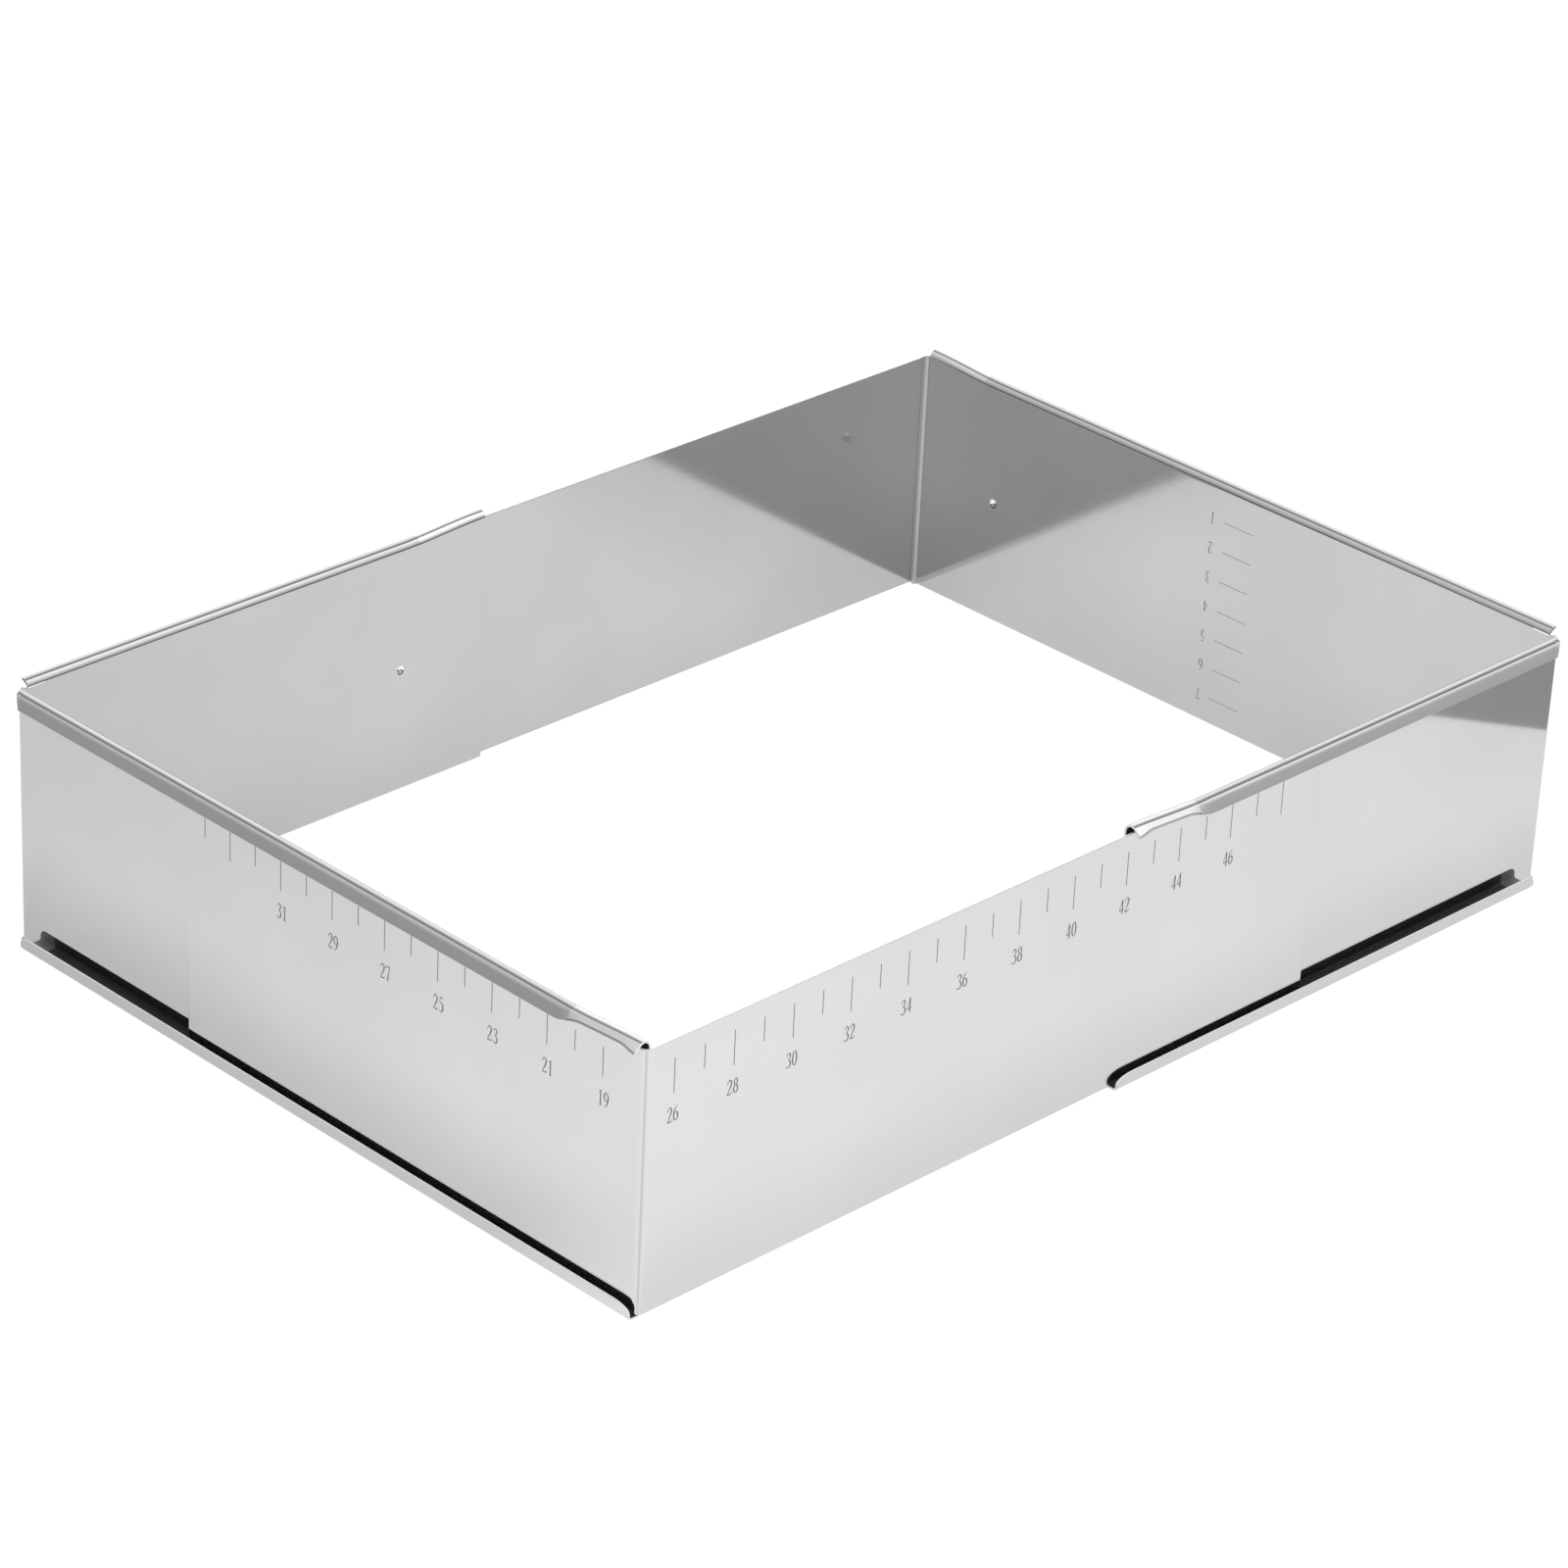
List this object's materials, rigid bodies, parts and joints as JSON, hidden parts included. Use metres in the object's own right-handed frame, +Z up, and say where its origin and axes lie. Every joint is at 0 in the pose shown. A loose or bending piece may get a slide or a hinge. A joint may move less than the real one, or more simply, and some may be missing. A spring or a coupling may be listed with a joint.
{
  "type": "adjustable cake frame",
  "caption": "Adjustable rectangular cake frame: folded steel corner sheets with engraved scales slide in channelled corner sheets to set its length and width.",
  "frame": {"origin": "middle of the frame's bounding box, at the table that the frame stands on", "axes": "+X along the long side, from the front corner to the right corner; +Y along the short side, from the front corner to the left corner; +Z up"},
  "size_m": [0.3544, 0.2534, 0.0784],
  "materials": {
    "polished_steel": "polished stainless sheet, mirror bright"
  },
  "bodies": {
    "front": {"front_scale_corner": "polished_steel"},
    "right": {"right_channel_corner": "polished_steel"},
    "left": {"left_channel_corner": "polished_steel"},
    "back": {"back_scale_corner": "polished_steel"}
  },
  "joints": [
    {"name": "long_side_slide", "type": "slide", "parent": "front", "child": "right", "axis": [1, 0, 0], "range_m": [-0.097, 0.048]},
    {"name": "short_side_slide", "type": "slide", "parent": "front", "child": "left", "axis": [0, 1, 0], "range_m": [0, 0.156]},
    {"name": "back_short_side_slide", "type": "slide", "parent": "right", "child": "back", "axis": [0, 1, 0], "range_m": [0, 0.156]}
  ],
  "couplings": [
    {"joint": "back_short_side_slide", "follows": "short_side_slide", "ratio": 1}
  ]
}
